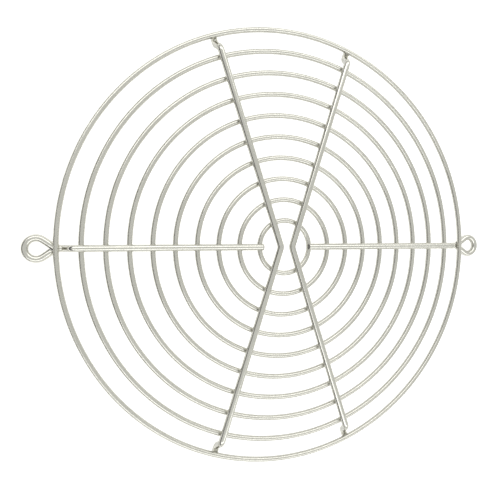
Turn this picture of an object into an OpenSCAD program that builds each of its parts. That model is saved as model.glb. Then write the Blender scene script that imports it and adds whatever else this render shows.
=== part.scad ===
// Wire fan guard: ten concentric rings welded to two V-bent cross spokes and
// two straight spokes, whose outer ends are curled into mounting eyes.
//
// The guard lies flat with its fan side down. The origin is the middle of the
// rings, on the plane that the eyes are screwed to. +X runs towards the right
// eye, +Y is up the guard's face and +Z points away from the fan.
// All sizes are in millimetres.

/* [Mounting eyes] */
// Distance between the centres of the two mounting eyes
bolt_spacing = 162; // [140:0.5:200]
// Clear width of the hole in each eye
eye_hole_d = 4.3; // [3.4:0.1:5.4]
// Angle between each strand of an eye and the line through both eyes
eye_flare = 35; // [28:1:45]
// Crevice left between the end of an eye's tail and the strand that it closes on
eye_tail_gap = 0.15; // [0.05:0.05:0.4]

/* [Rings] */
// Number of concentric rings
ring_count = 10; // [6:1:12]
// Diameter of the smallest ring, between wire centres
inner_ring_d = 18.6; // [15:0.1:28]
// Thickness of the ring wire
ring_wire_d = 1.8; // [1.4:0.1:2.2]

/* [Spokes] */
// Thickness of the spoke wire, which also forms the eyes
spoke_wire_d = 2.3; // [1.8:0.1:2.8]
// Angle of each V-spoke's arms from the guard's upright centre line
v_arm_angle = 18; // [12:0.5:28]
// Distance between the two V-spokes at their bends, between wire centres
v_bend_spread = 4.1; // [3.4:0.1:8]
// Radius of the bend in the middle of a V-spoke, to the wire's centre
v_bend_r = 2.6; // [1.6:0.1:6]
// Reach of a V-spoke's cut ends past the wire centre of the outer ring
v_end_overhang = 0.5; // [0:0.1:0.9]
// Reach of a straight spoke's cut end past the wire centre of the smallest ring
inner_end_overhang = 0.8; // [0.3:0.1:2]

/* [Steps and welds] */
// Slope of the step that takes a spoke from the rings' front to their back
step_slope = 60; // [50:1:72]
// Radius of a spoke's small bends, to the wire's centre
bend_r = 2; // [1.5:0.1:2.3]
// How far two wires sink into each other where they are welded
weld_set = 0.15; // [0.05:0.05:0.3]

/* [Hidden] */
$fn = 96;
plated_wire = [0.8, 0.79, 0.75];
quarter_turn = 90;
half_turn = 180;
// Angle by which the two halves of a bend overlap in its middle
bend_lap = 1;
// Where the round of a bent wire starts, as an angle from the bend's outside
$seam = 0;

// The eye is a teardrop: a circle, and two strands that meet in its throat
eye_r = (eye_hole_d + spoke_wire_d) / 2;
eye_x = bolt_spacing / 2;
strand_length = eye_r / tan(eye_flare);
throat_x = eye_x - eye_r / sin(eye_flare);

// The outer ring crosses the throats, and the others fill the space inside it
outer_ring_r = throat_x;
inner_ring_r = inner_ring_d / 2;
ring_pitch = (outer_ring_r - inner_ring_r) / (ring_count - 1);
function ring_r(number) = inner_ring_r + (number - 1) * ring_pitch;

// The eyes and the spokes' outer ends lie on z = 0, behind the rings, and the
// rest of each spoke lies in front of them
wire_spacing = (ring_wire_d + spoke_wire_d) / 2 - weld_set;
back_z = spoke_wire_d / 2;
ring_z = back_z + wire_spacing;
front_z = ring_z + wire_spacing;

// Each step is centred in the gap between the last two rings
step_middle_r = outer_ring_r - ring_pitch / 2;
step_half_run = wire_spacing / tan(step_slope);

// Length that a bend takes from the straight wire on each side of its corner
function setback(angle, r) = r * tan(angle / 2);
step_setback = setback(step_slope, bend_r);
step_feed = 2 * wire_spacing / sin(step_slope) - 2 * step_setback;

// Distance along a V-spoke's arm at which it is a given radius from the origin
function arm_length(radius) =
    sqrt(pow(radius, 2) - pow(v_bend_spread / 2 * cos(v_arm_angle), 2))
    - v_bend_spread / 2 * sin(v_arm_angle);

// Half of a bend, from a wire that arrives at z = 0 beside the bend's axis
module half_bend(angle, r, wire_d) {
    rotate([quarter_turn, 0, half_turn])
        rotate_extrude(angle = angle / 2 + bend_lap)
        translate([r, 0])
        rotate($seam)
        circle(d = wire_d);
}

// A wire formed as on a bending machine, from the origin towards +Z. Each step
// but the last is [feed, roll, bend angle, bend radius], and the last [feed].
// Children are placed at the wire's end.
module formed_wire(steps, wire_d, number = 0) {
    feed = steps[number][0];
    cylinder(d = wire_d, h = feed);
    translate([0, 0, feed])
        if (number == len(steps) - 1)
            children();
        else
            formed_bend(steps, wire_d, number) children();
}

// The bend that ends a step, and the rest of the wire beyond it
module formed_bend(steps, wire_d, number) {
    roll = steps[number][1];
    angle = steps[number][2];
    r = steps[number][3];
    rotate([0, 0, roll])
        translate([r, 0, 0]) {
            half_bend(angle, r, wire_d);
            rotate([0, angle, 0]) {
                mirror([0, 0, 1]) half_bend(angle, r, wire_d);
                translate([-r, 0, 0]) formed_wire(steps, wire_d, number + 1) children();
            }
        }
}

module ring_wire(number) {
    translate([0, 0, ring_z])
        rotate_extrude()
        translate([ring_r(number), 0])
        circle(d = ring_wire_d);
}

// Leaves in a spoke the shallow seats where the rings are welded to it
module seated_on_rings() {
    difference() {
        children();
        for (number = [1 : ring_count])
            ring_wire(number);
    }
}

// Upper half of the right V-spoke, from the middle of its bend to its cut end:
// over the inner rings, down the step, and behind the outer ring
module v_arm() {
    bend_angle = 2 * v_arm_angle;
    start = setback(bend_angle, v_bend_r);
    step_at = arm_length(step_middle_r);
    end_at = arm_length(outer_ring_r + v_end_overhang);
    translate([v_bend_spread / 2, 0, front_z])
        rotate([-quarter_turn, 0, -v_arm_angle])
        translate([0, 0, start]) {
            translate([v_bend_r, 0, 0])
                mirror([0, 0, 1])
                half_bend(bend_angle, v_bend_r, spoke_wire_d);
            formed_wire(
                [
                    [step_at - step_half_run - step_setback - start, quarter_turn, step_slope, bend_r],
                    [step_feed, half_turn, step_slope, bend_r],
                    [end_at - step_at - step_half_run - step_setback]
                ],
                spoke_wire_d
            );
        }
}

module v_spoke() {
    seated_on_rings() {
        v_arm();
        mirror([0, 1, 0]) v_arm();
    }
}

// The strand that comes back from an eye, cut to lie along the other strand
module eye_tail() {
    difference() {
        cylinder(d = spoke_wire_d, h = strand_length);
        translate([0, 0, strand_length])
            rotate([0, -2 * eye_flare, 0])
            translate([-spoke_wire_d / 2 - eye_tail_gap, -strand_length, -strand_length])
            cube(2 * strand_length);
    }
}

// One wire: straight spoke, step behind the outer ring, throat, eye and tail
module eye_spoke() {
    start_x = inner_ring_r - inner_end_overhang;
    throat_setback = setback(eye_flare, bend_r);
    to_step = step_middle_r - step_half_run - step_setback - start_x;
    to_throat = throat_x - throat_setback - step_middle_r - step_half_run - step_setback;
    seated_on_rings()
        translate([start_x, 0, front_z])
        rotate([0, quarter_turn, 0])
        formed_wire(
            [
                [to_step, 0, step_slope, bend_r],
                [step_feed, half_turn, step_slope, bend_r],
                [to_throat, quarter_turn, eye_flare, bend_r],
                [strand_length - throat_setback, half_turn, half_turn + 2 * eye_flare, eye_r],
                [0]
            ],
            spoke_wire_d,
            $seam = half_turn
        )
        eye_tail();
}

module ring(number) {
    color(plated_wire) ring_wire(number);
}

module v_spoke_left() {
    color(plated_wire) rotate([0, 0, half_turn]) v_spoke();
}

module v_spoke_right() {
    color(plated_wire) v_spoke();
}

module eye_spoke_left() {
    color(plated_wire) rotate([0, 0, half_turn]) eye_spoke();
}

module eye_spoke_right() {
    color(plated_wire) eye_spoke();
}

for (number = [1 : ring_count])
    ring(number);
v_spoke_left();
v_spoke_right();
eye_spoke_left();
eye_spoke_right();
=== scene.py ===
import math

import bmesh
import bpy
from mathutils import Matrix, Vector, noise


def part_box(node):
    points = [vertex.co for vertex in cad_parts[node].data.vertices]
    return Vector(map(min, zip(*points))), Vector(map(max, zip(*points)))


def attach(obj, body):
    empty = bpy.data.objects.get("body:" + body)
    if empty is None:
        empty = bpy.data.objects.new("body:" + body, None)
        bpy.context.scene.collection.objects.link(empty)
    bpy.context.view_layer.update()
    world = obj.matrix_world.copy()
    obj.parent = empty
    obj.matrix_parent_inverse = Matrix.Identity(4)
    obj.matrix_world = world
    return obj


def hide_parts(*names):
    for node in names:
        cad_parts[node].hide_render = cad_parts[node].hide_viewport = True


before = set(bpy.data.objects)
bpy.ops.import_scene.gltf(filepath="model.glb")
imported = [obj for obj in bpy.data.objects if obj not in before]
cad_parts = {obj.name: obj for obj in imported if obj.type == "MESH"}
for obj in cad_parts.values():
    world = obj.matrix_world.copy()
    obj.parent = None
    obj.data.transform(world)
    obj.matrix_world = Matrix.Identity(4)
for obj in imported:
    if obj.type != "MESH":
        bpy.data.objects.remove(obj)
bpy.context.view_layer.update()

# ---- sizes of the guard, in metres ----

# Stated here as the part's source has them
SPOKE_WIRE_R = 0.00115
BEND_R = 0.002
STEP_SLOPE = math.radians(60)
ARM_ANGLE = math.radians(18)
V_BEND_R = 0.0026
V_CORNER_X = 0.00205
V_END_OVERHANG = 0.0005
EYE_R = 0.0033
FLARE = math.radians(35)
TAIL_GAP = 0.00015

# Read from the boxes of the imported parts
RING_PREFIX = "ring_"
RINGS = sorted(
    (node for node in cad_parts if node.startswith(RING_PREFIX)),
    key=lambda node: int(node[len(RING_PREFIX):]),
)


def box(node):
    """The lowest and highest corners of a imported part."""
    low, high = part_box(node)
    return Vector(low), Vector(high)


low, high = box(RINGS[0])
RING_WIRE_R = (high.z - low.z) / 2
RING_Z = (high.z + low.z) / 2
RING_R = [box(name)[1].x - RING_WIRE_R for name in RINGS]
OUTER_R = RING_R[-1]
PITCH = (OUTER_R - RING_R[0]) / (len(RING_R) - 1)

low, high = box("eye_spoke_right")
BACK_Z = low.z + SPOKE_WIRE_R
FRONT_Z = high.z - SPOKE_WIRE_R
INNER_END_X = low.x
EYE_X = high.x - SPOKE_WIRE_R - EYE_R

# Worked out from both
STEP_MIDDLE_R = OUTER_R - PITCH / 2
STEP_HALF_RUN = (FRONT_Z - BACK_Z) / 2 / math.tan(STEP_SLOPE)
THROAT_X = EYE_X - EYE_R / math.sin(FLARE)
STRAND = EYE_R / math.tan(FLARE)

# ---- fineness of the meshes ----

RING_SIDES = 18
SPOKE_SIDES = 24
ARC_STEP = math.radians(6)
EYE_STEPS = 42
LONGEST_STRAIGHT = 0.0008
RING_POINT_SPACING = 0.0011
RING_POINTS_MIN = 96
END_CHAMFER = 0.12  # share of the wire's radius

# Unevenness of drawn and plated wire: share of its radius, and scale of the noise
SWELL, SWELL_SCALE = 0.006, 420
RIPPLE, RIPPLE_SCALE = 0.004, 1500
# The rings' seeds count from 0, and the spokes' from here
SPOKE_SEED = 20


# ---- objects ----

def linked(name, data):
    """A new object in the scene."""
    made = bpy.data.objects.new(name, data)
    bpy.context.scene.collection.objects.link(made)
    return made


def mesh_object(name, bm):
    """A new object in the scene with a finished mesh."""
    mesh = bpy.data.meshes.new(name)
    bm.to_mesh(mesh)
    bm.free()
    return linked(name, mesh)


# ---- wires, swept along their centre lines ----

def arc_points(corner, before, after, radius):
    """The bend of that radius at a corner, between the points before and after it."""
    d0 = (corner - before).normalized()
    d1 = (after - corner).normalized()
    turn = d0.angle(d1)
    start = corner - d0 * (radius * math.tan(turn / 2))
    inward = (d1 - d0 * d0.dot(d1)).normalized()
    centre = start + inward * radius
    count = math.ceil(turn / ARC_STEP)
    points = []
    for i in range(count + 1):
        angle = turn * i / count
        points.append(centre - inward * radius * math.cos(angle) + d0 * radius * math.sin(angle))
    return points


def bent(corners, radii):
    """Points of a wire with a bend of each radius at each inner corner."""
    points = [corners[0]]
    for i in range(1, len(corners) - 1):
        points += arc_points(corners[i], corners[i - 1], corners[i + 1], radii[i - 1])
    points.append(corners[-1])
    return points


def spaced(points):
    """The same line with its straights divided, so that fine unevenness can be put on it."""
    result = [points[0]]
    for a, b in zip(points, points[1:]):
        count = max(1, math.ceil((b - a).length / LONGEST_STRAIGHT))
        result += [a.lerp(b, i / count) for i in range(1, count + 1)]
    return result


def unevenness(p, seed):
    """Share of its radius by which the wire is thicker at a point, or thinner below 0."""
    swell = noise.noise(p * SWELL_SCALE + Vector((seed, 0, 0)))
    ripple = noise.noise(p * RIPPLE_SCALE + Vector((0, seed, 0)))
    return SWELL * swell + RIPPLE * ripple


def cross_sections(bm, points, radius, sides, seed, closed):
    """A loop of vertices round the wire at each point, and each point's distance along it."""
    count = len(points)
    loops, lengths, length = [], [], 0.0
    side = None
    for i, p in enumerate(points):
        before = points[i - 1] if i or closed else p
        after = points[(i + 1) % count] if i < count - 1 or closed else p
        along = (after - before).normalized()
        if side is None:
            side = Vector((0, 0, 1)).cross(along).normalized()
        side = (side - along * side.dot(along)).normalized()
        over = along.cross(side)
        if i:
            length += (p - points[i - 1]).length
        lengths.append(length)
        loop = []
        for k in range(sides):
            angle = 2 * math.pi * k / sides
            out = side * math.cos(angle) + over * math.sin(angle)
            # The radius is never more than the solid's
            r = radius * (1 + min(0.0, unevenness(p + out * radius, seed)))
            loop.append(bm.verts.new(p + out * r))
        loops.append(loop)
    if closed:
        lengths.append(length + (points[0] - points[-1]).length)
    return loops, lengths


def skin(bm, uv, loops, lengths):
    """Faces between each loop of vertices and the next, as far as there are lengths."""
    for i in range(len(lengths) - 1):
        a, b = loops[i], loops[(i + 1) % len(loops)]
        u0, u1 = lengths[i], lengths[i + 1]
        sides = len(a)
        for k in range(sides):
            k1 = (k + 1) % sides
            face = bm.faces.new((a[k], a[k1], b[k1], b[k]))
            face.smooth = True
            v0, v1 = k / sides, (k + 1) / sides
            corners = ((u0, v0), (u0, v1), (u1, v1), (u1, v0))
            for corner, place in zip(face.loops, corners):
                corner[uv].uv = place


def slant(loop, along, plane):
    """Slides the vertices of a wire's end along it onto the (point, normal) of a cut."""
    point, normal = plane
    for v in loop:
        v.co += along * ((point - v.co).dot(normal) / along.dot(normal))


def cap(bm, loop, centre, outward, radius, chamfer, flip):
    """Closes a wire's end with a chamfer, and a flat face in the second material."""
    rim = []
    for v in loop:
        rim.append(bm.verts.new(centre.lerp(v.co, 1 - chamfer)))
        v.co -= outward * (chamfer * radius)
    for k in range(len(loop)):
        k1 = (k + 1) % len(loop)
        quad = (loop[k], loop[k1], rim[k1], rim[k])
        face = bm.faces.new(quad[::-1] if flip else quad)
        face.smooth = True
    end = bm.faces.new(rim[::-1] if flip else rim)
    end.smooth = False
    end.material_index = 1


def sweep(name, points, radius, sides, seed, closed=False, chamfer=0.0, end_plane=None):
    """A round wire along points, with its length in metres as U and its turn as V.

    end_plane is the (point, normal) of a slanting cut at its last point.
    """
    bm = bmesh.new()
    uv = bm.loops.layers.uv.new("wire")
    loops, lengths = cross_sections(bm, points, radius, sides, seed, closed)
    skin(bm, uv, loops, lengths)
    if not closed:
        first_outward = (points[0] - points[1]).normalized()
        last_outward = (points[-1] - points[-2]).normalized()
        if end_plane:
            slant(loops[-1], last_outward, end_plane)
        cap(bm, loops[0], points[0], first_outward, radius, chamfer, True)
        cap(bm, loops[-1], points[-1], last_outward, radius, chamfer, False)
    bm.normal_update()
    bmesh.ops.recalc_face_normals(bm, faces=bm.faces)
    return mesh_object(name, bm)


def turned(vectors):
    """The same vectors after half a turn about Z."""
    return [Vector((-v.x, -v.y, v.z)) for v in vectors]


# ---- centre lines ----

def ring_points(radius):
    count = max(RING_POINTS_MIN, int(2 * math.pi * radius / RING_POINT_SPACING))
    points = []
    for i in range(count):
        angle = 2 * math.pi * i / count
        points.append(Vector((radius * math.cos(angle), radius * math.sin(angle), RING_Z)))
    return points


def arm_length(radius):
    """Distance along a V-spoke's arm at which it is that far from the guard's middle."""
    aside = V_CORNER_X * math.cos(ARM_ANGLE)
    return math.sqrt(radius ** 2 - aside ** 2) - V_CORNER_X * math.sin(ARM_ANGLE)


def v_points():
    """The right V-spoke, from its upper end to its lower one."""
    along = Vector((math.sin(ARM_ANGLE), math.cos(ARM_ANGLE), 0))
    corner = Vector((V_CORNER_X, 0, 0))
    step = arm_length(STEP_MIDDLE_R)
    back, front = Vector((0, 0, BACK_Z)), Vector((0, 0, FRONT_Z))
    arm = [
        corner + along * arm_length(OUTER_R + V_END_OVERHANG) + back,
        corner + along * (step + STEP_HALF_RUN) + back,
        corner + along * (step - STEP_HALF_RUN) + front,
    ]
    other = [Vector((p.x, -p.y, p.z)) for p in arm[::-1]]
    corners = arm + [corner + front] + other
    return spaced(bent(corners, [BEND_R, BEND_R, V_BEND_R, BEND_R, BEND_R]))


def eye_points():
    """The right eye spoke, from its inner end through the throat and the eye to its tail."""
    corners = [
        Vector((INNER_END_X, 0, FRONT_Z)),
        Vector((STEP_MIDDLE_R - STEP_HALF_RUN, 0, FRONT_Z)),
        Vector((STEP_MIDDLE_R + STEP_HALF_RUN, 0, BACK_Z)),
        Vector((THROAT_X, 0, BACK_Z)),
        Vector((THROAT_X + STRAND * math.cos(FLARE), -STRAND * math.sin(FLARE), BACK_Z)),
    ]
    points = bent(corners, [BEND_R, BEND_R, BEND_R])
    start = -math.pi / 2 - FLARE
    wrap = math.pi + 2 * FLARE
    for i in range(1, EYE_STEPS + 1):
        angle = start + wrap * i / EYE_STEPS
        x, y = EYE_X + EYE_R * math.cos(angle), EYE_R * math.sin(angle)
        points.append(Vector((x, y, BACK_Z)))
    tail = STRAND - (SPOKE_WIRE_R + TAIL_GAP) / math.sin(2 * FLARE)
    points.append(points[-1] + Vector((-math.cos(FLARE), -math.sin(FLARE), 0)) * tail)
    return spaced(points)


def tail_plane():
    """The cut that ends the right eye's tail, along the strand that it closes on."""
    across = Vector((math.sin(FLARE), math.cos(FLARE), 0))
    return Vector((THROAT_X, 0, BACK_Z)) + across * (SPOKE_WIRE_R + TAIL_GAP), across


# ---- materials ----

# Sockets of a mix node that mixes colours
MIX_INPUTS = (0, 6, 7)
MIX_OUTPUT = 2


class Nodes:
    """Short names for making and joining the nodes of a material or world."""

    def __init__(self, owner, shader="Principled BSDF"):
        owner.use_nodes = True
        self.owner = owner
        self.tree = owner.node_tree
        self.shader = self.tree.nodes[shader]

    def add(self, kind, **settings):
        made = self.tree.nodes.new(kind)
        for key, value in settings.items():
            setattr(made, key, value)
        return made

    def put(self, value, socket):
        """Joins an output to a socket, or gives the socket a number or colour."""
        if isinstance(value, bpy.types.NodeSocket):
            self.tree.links.new(value, socket)
        elif isinstance(value, tuple):
            socket.default_value = (*value, 1)
        else:
            socket.default_value = value

    def shade(self, **values):
        """Puts values on the shader's sockets, whose spaces are written as underscores."""
        for name, value in values.items():
            self.put(value, self.shader.inputs[name.replace("_", " ")])

    def noise(self, vector, scale, detail=3, roughness=0.55):
        made = self.add("ShaderNodeTexNoise")
        made.inputs["Scale"].default_value = scale
        made.inputs["Detail"].default_value = detail
        made.inputs["Roughness"].default_value = roughness
        self.put(vector, made.inputs["Vector"])
        return made.outputs["Fac"]

    def ramp(self, value, *stops):
        """Colour for a value, from stops of (value, colour)."""
        made = self.add("ShaderNodeValToRGB")
        ramp = made.color_ramp
        while len(ramp.elements) < len(stops):
            ramp.elements.new(0.5)
        for element, (position, color) in zip(ramp.elements, stops):
            element.position = position
            element.color = (*color, 1)
        self.put(value, made.inputs["Fac"])
        return made.outputs["Color"]

    def greys(self, value, *stops):
        """Level for a value, from stops of (value, level)."""
        return self.ramp(value, *((position, (level,) * 3) for position, level in stops))

    def mix(self, share, a, b):
        made = self.add("ShaderNodeMix", data_type="RGBA")
        for value, number in zip((share, a, b), MIX_INPUTS):
            self.put(value, made.inputs[number])
        return made.outputs[MIX_OUTPUT]

    def math(self, operation, a, b=0.0, clamp=False):
        made = self.add("ShaderNodeMath", operation=operation, use_clamp=clamp)
        self.put(a, made.inputs[0])
        self.put(b, made.inputs[1])
        return made.outputs[0]

    def relief(self, height, strength, distance):
        """Gives the shader a bump of that height."""
        bump = self.add("ShaderNodeBump")
        bump.inputs["Strength"].default_value = strength
        bump.inputs["Distance"].default_value = distance
        self.put(height, bump.inputs["Height"])
        self.shade(Normal=bump.outputs["Normal"])


def dimmed(color, share):
    return tuple(c * share for c in color)


# Scales of the noise in the materials: per metre, and for the grain per unit of U and V
GRAIN_SCALE = (260, 16, 1)
MOTTLE_SCALE, CLOUD_SCALE = 700, 90
PIT_SCALE, HEAT_SCALE = 900, 260
TEAR_SCALE = 2200
FLOOR_SCALE = 6

# Weld flash, by how hot it got
HOT, WARM, COOL = (0.46, 0.44, 0.36), (0.62, 0.60, 0.53), (0.72, 0.71, 0.65)


def plated_wire(name, body, side_shade_color, roughness):
    """Bright plated steel wire: drawn grain, mottled plating, and painted shade that darkens its
    sides where they turn away from upright.
    """
    n = Nodes(bpy.data.materials.new(name))
    place = n.add("ShaderNodeTexCoord")
    wire = n.add("ShaderNodeMapping")
    wire.inputs["Scale"].default_value = GRAIN_SCALE
    n.put(place.outputs["UV"], wire.inputs["Vector"])
    grain = n.noise(wire.outputs["Vector"], 1.0, detail=4, roughness=0.6)
    mottle = n.noise(place.outputs["Object"], MOTTLE_SCALE, detail=4)
    cloud = n.noise(place.outputs["Object"], CLOUD_SCALE)

    tone = n.mix(n.greys(cloud, (0.35, 0.0), (0.65, 1.0)), body, dimmed(body, 0.93))
    tone = n.mix(n.greys(mottle, (0.42, 0.0), (0.75, 0.35)), tone, dimmed(body, 0.8))
    # Painted shade: where the wire's normal turns away from upright, the base colour goes over
    # to the darker side colour
    normal = n.add("ShaderNodeNewGeometry")
    axes = n.add("ShaderNodeSeparateXYZ")
    n.put(normal.outputs["Normal"], axes.inputs["Vector"])
    upright = n.math("ABSOLUTE", axes.outputs["Z"])
    side_shade_mask = n.greys(upright, (0.0, 1.0), (0.28, 0.75), (0.62, 0.0))
    rough = n.greys(mottle, (0.3, roughness - 0.05), (0.7, roughness + 0.07))
    n.shade(Base_Color=n.mix(side_shade_mask, tone, side_shade_color), Roughness=rough, Metallic=1.0)

    height = n.math("ADD", n.math("MULTIPLY", grain, 0.5), n.math("MULTIPLY", mottle, 0.6))
    n.relief(height, strength=0.12, distance=0.00002)
    return n.owner


def weld_metal(name, level):
    """Flash squeezed out of a resistance weld: matte, pitted and straw to brown from heat. Its
    colours are scaled by level, and a level below 1 is painted shade.
    """
    n = Nodes(bpy.data.materials.new(name))
    place = n.add("ShaderNodeTexCoord")
    spots = n.noise(place.outputs["Object"], PIT_SCALE, detail=4)
    heat = n.noise(place.outputs["Object"], HEAT_SCALE)
    hot, warm, cool = (dimmed(color, level) for color in (HOT, WARM, COOL))
    tone = n.ramp(heat, (0.3, hot), (0.46, warm), (0.6, cool))
    pits = n.greys(spots, (0.55, 0.0), (0.75, 0.5))
    rough = n.greys(spots, (0.3, 0.38), (0.7, 0.6))
    n.shade(Base_Color=n.mix(pits, tone, dimmed(hot, 0.6)), Roughness=rough, Metallic=1.0)
    n.relief(spots, strength=0.5, distance=0.0001)
    return n.owner


def shaded_sheared_metal():
    """A sheared end: bare, matte steel with the tears of the cut, coloured near black as painted
    shade.
    """
    n = Nodes(bpy.data.materials.new("sheared_end_painted_shade"))
    place = n.add("ShaderNodeTexCoord")
    tears = n.noise(place.outputs["Object"], TEAR_SCALE)
    # Near-black tones are painted shade, and the tears vary them
    tone = n.ramp(tears, (0.35, (0.07, 0.068, 0.062)), (0.7, (0.2, 0.195, 0.18)))
    rough = n.greys(tears, (0.3, 0.45), (0.7, 0.65))
    n.shade(Base_Color=tone, Roughness=rough, Metallic=1.0)
    return n.owner


def pale_floor():
    """A white floor that glows a little, so that it stays white to its edges."""
    n = Nodes(bpy.data.materials.new("pale_floor"))
    place = n.add("ShaderNodeTexCoord")
    patches = n.noise(place.outputs["Object"], FLOOR_SCALE, detail=2)
    tone = n.ramp(patches, (0.3, (0.68, 0.68, 0.675)), (0.7, (0.7, 0.7, 0.695)))
    n.shade(Base_Color=tone, Roughness=0.9, Specular_IOR_Level=0.0)
    n.shade(Emission_Color=(1.0, 1.0, 0.99), Emission_Strength=0.7)
    return n.owner


# The second colour of each wire is the painted shade on its sides
RING_METAL = plated_wire("ring_wire", (0.70, 0.69, 0.63), (0.44, 0.435, 0.40), 0.26)
SPOKE_METAL = plated_wire("spoke_wire", (0.72, 0.71, 0.65), (0.46, 0.455, 0.42), 0.22)
WELD_METAL = weld_metal("weld_flash", 1.0)
# Half-bright copy of the flash for the welds behind the outer ring: painted shade
SHADED_WELD_METAL = weld_metal("weld_flash_painted_shade", 0.5)
SHADED_SHEAR_METAL = shaded_sheared_metal()


# ---- the guard's pieces ----

def dress(piece, material, node=None):
    piece.data.materials.append(material)
    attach(piece, "root")
    if node:
        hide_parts(node)


for number, (name, radius) in enumerate(zip(RINGS, RING_R)):
    line = ring_points(radius)
    ring = sweep("wire_" + name, line, RING_WIRE_R, RING_SIDES, number, closed=True)
    dress(ring, RING_METAL, name)

V_LINE = v_points()
EYE_LINE = eye_points()
CUT = tail_plane()
SPOKES = {
    "v_spoke_right": (V_LINE, None),
    "v_spoke_left": (turned(V_LINE), None),
    "eye_spoke_right": (EYE_LINE, CUT),
    "eye_spoke_left": (turned(EYE_LINE), turned(CUT)),
}
for number, (name, (line, cut)) in enumerate(SPOKES.items()):
    spoke = sweep(
        "wire_" + name, line, SPOKE_WIRE_R, SPOKE_SIDES, SPOKE_SEED + number,
        chamfer=END_CHAMFER, end_plane=cut,
    )
    dress(spoke, SPOKE_METAL, name)
    # The second material, on the cut ends, is near black: painted shade
    spoke.data.materials.append(SHADED_SHEAR_METAL)


# ---- welds ----

# Half lengths of a lump of flash along its ring and across it, and their spread
LUMP_ALONG, LUMP_ALONG_SPREAD = 0.00108, 0.0003
LUMP_ACROSS, LUMP_ACROSS_SPREAD = 0.0007, 0.0002
LUMP_HEIGHT = 0.00034
LUMP_SEGMENTS = (14, 9)
# How much larger the lumps are behind the outer ring
GROWTH_BEHIND = 1.25
# Unevenness of a lump's outline: share of its size, and scale of the noise
LUMP_SWELL, LUMP_SWELL_SCALE = 0.28, 1.7
LUMP_RIPPLE, LUMP_RIPPLE_SCALE = 0.1, 5
# Steps of the seed from spoke to spoke, from weld to weld, and in the swell
SPOKE_STRIDE, WELD_STRIDE, SWELL_STRIDE = 31, 7.3, 3.7


def lump(bm, place, seed, half_sizes, material_index):
    """A squeezed-out lump of metal, long along the ring, with an uneven outline."""
    around, upward = LUMP_SEGMENTS
    made = bmesh.ops.create_uvsphere(bm, u_segments=around, v_segments=upward, radius=1.0)
    for v in made["verts"]:
        unit = v.co.copy()
        swell = noise.noise(unit * LUMP_SWELL_SCALE + Vector((seed * SWELL_STRIDE, 0, 0)))
        ripple = noise.noise(unit * LUMP_RIPPLE_SCALE + Vector((0, seed, 0)))
        share = 1 + LUMP_SWELL * swell + LUMP_RIPPLE * ripple
        v.co = place @ Vector([x * half * share for x, half in zip(unit, half_sizes)])
    for v in made["verts"]:
        for face in v.link_faces:
            face.smooth = True
            face.material_index = material_index


def crossings(line):
    """Where a spoke's centre line crosses each ring."""
    found = []
    for radius in RING_R:
        for a, b in zip(line, line[1:]):
            ra, rb = a.xy.length - radius, b.xy.length - radius
            if ra * rb < 0 and a.xy.length < OUTER_R + PITCH / 2:
                found.append(a.lerp(b, ra / (ra - rb)))
    return found


def welds(name, line, number):
    """The flash of all of a spoke's welds, as one piece."""
    bm = bmesh.new()
    for i, p in enumerate(crossings(line)):
        seed = number * SPOKE_STRIDE + i * WELD_STRIDE
        behind = p.z < RING_Z
        toward_spoke = -1 if behind else 1
        contact_z = (p.z + RING_Z) / 2 + (RING_WIRE_R - SPOKE_WIRE_R) / 2 * toward_spoke
        tangent = Vector((-p.y, p.x, 0)).normalized()
        outward = Vector((p.x, p.y, 0)).normalized()
        place = Matrix((
            (tangent.x, outward.x, 0, p.x),
            (tangent.y, outward.y, 0, p.y),
            (0, 0, 1, contact_z),
            (0, 0, 0, 1),
        ))
        pick = noise.noise(Vector((seed, 1.3, 0.7)))
        growth = GROWTH_BEHIND if behind else 1.0
        half_sizes = (
            growth * (LUMP_ALONG + LUMP_ALONG_SPREAD * pick),
            growth * (LUMP_ACROSS + LUMP_ACROSS_SPREAD * pick),
            LUMP_HEIGHT,
        )
        # Lumps behind the outer ring take the half-bright flash, which is painted shade
        lump(bm, place, seed, half_sizes, 1 if behind else 0)
    piece = mesh_object(name, bm)
    dress(piece, WELD_METAL)
    piece.data.materials.append(SHADED_WELD_METAL)


for number, (name, (line, _)) in enumerate(SPOKES.items()):
    welds("welds_" + name, line, number + 1)


# ---- floor, light and camera ----

FLOOR_HALF_WIDTH = 3.0
FLOOR_DROP = 0.0002

# The camera was fitted to rings that are 150 mm across
FITTED_OUTER_R = 0.075
CAMERA_FORWARD = Vector((0.3040, -0.0271, -0.9523))
CAMERA_UP = Vector((0.0092, 0.9996, -0.0256))
CAMERA_PLACE = (-0.0633, 0.0035, 0.1583)

bm = bmesh.new()
bmesh.ops.create_grid(bm, x_segments=4, y_segments=4, size=FLOOR_HALF_WIDTH)
floor = mesh_object("floor", bm)
floor.location.z = -FLOOR_DROP
floor.data.materials.append(pale_floor())


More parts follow.
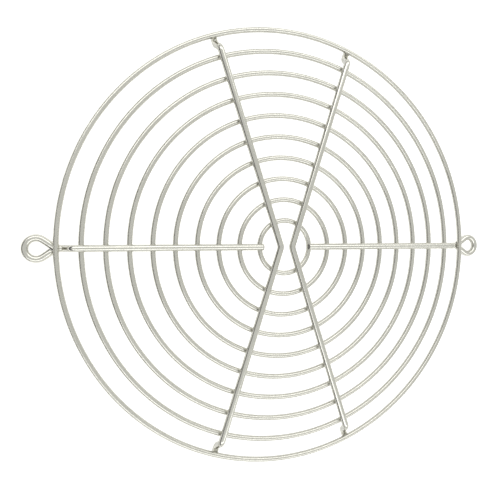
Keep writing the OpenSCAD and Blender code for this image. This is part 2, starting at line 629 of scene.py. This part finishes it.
def softbox(name, place, width, height, watts, color):
    """A rectangular light, aimed at the guard's middle."""
    light = bpy.data.lights.new(name, "AREA")
    light.shape = "RECTANGLE"
    light.size, light.size_y = width, height
    light.energy = watts
    light.color = color
    lamp = linked(name, light)
    lamp.location = place
    toward_guard = Vector() - Vector(place)
    lamp.rotation_euler = toward_guard.to_track_quat("-Z", "Y").to_euler()


softbox("softbox_upper", (0, 0.8, 0.9), 2.0, 0.5, 5.0, (1, 0.995, 0.98))
softbox("softbox_low", (0, -0.8, 0.9), 2.0, 0.4, 4.0, (0.98, 0.99, 1))

# A pale studio with a dim wall low on the left: where each fade starts, and its rate
WALL_SIDE, WALL_SIDE_RATE = 0.3, 3.0
WALL_TOP, WALL_TOP_RATE = 0.62, 5.0
STUDIO_COLOR, WALL_COLOR = (0.96, 0.97, 0.95), (0.16, 0.16, 0.17)

world = bpy.data.worlds.new("studio")
bpy.context.scene.world = world
n = Nodes(world, "Background")
direction = n.add("ShaderNodeTexCoord")
parts = n.add("ShaderNodeSeparateXYZ")
n.put(direction.outputs["Generated"], parts.inputs["Vector"])
leftward = n.math("MULTIPLY", parts.outputs["X"], -1.0, clamp=True)
leftward = n.math("SUBTRACT", leftward, WALL_SIDE, clamp=True)
leftward = n.math("MULTIPLY", leftward, WALL_SIDE_RATE, clamp=True)
lowness = n.math("SUBTRACT", WALL_TOP, parts.outputs["Z"], clamp=True)
lowness = n.math("MULTIPLY", lowness, WALL_TOP_RATE, clamp=True)
walled = n.math("MULTIPLY", leftward, lowness, clamp=True)
n.shade(Color=n.mix(walled, STUDIO_COLOR, WALL_COLOR), Strength=0.76)
bpy.context.scene.view_settings.view_transform = "Standard"

camera_data = bpy.data.cameras.new("camera")
camera_data.sensor_width = 36
camera_data.lens = 34.74
camera_data.clip_start = 0.005
camera = linked("camera", camera_data)
right = CAMERA_FORWARD.cross(CAMERA_UP).normalized()
up = right.cross(CAMERA_FORWARD).normalized()
forward = CAMERA_FORWARD.normalized()
scale = OUTER_R / FITTED_OUTER_R
camera.matrix_world = Matrix((
    (right.x, up.x, -forward.x, CAMERA_PLACE[0] * scale),
    (right.y, up.y, -forward.y, CAMERA_PLACE[1] * scale),
    (right.z, up.z, -forward.z, RING_Z + CAMERA_PLACE[2] * scale),
    (0, 0, 0, 1),
))
bpy.context.scene.camera = camera
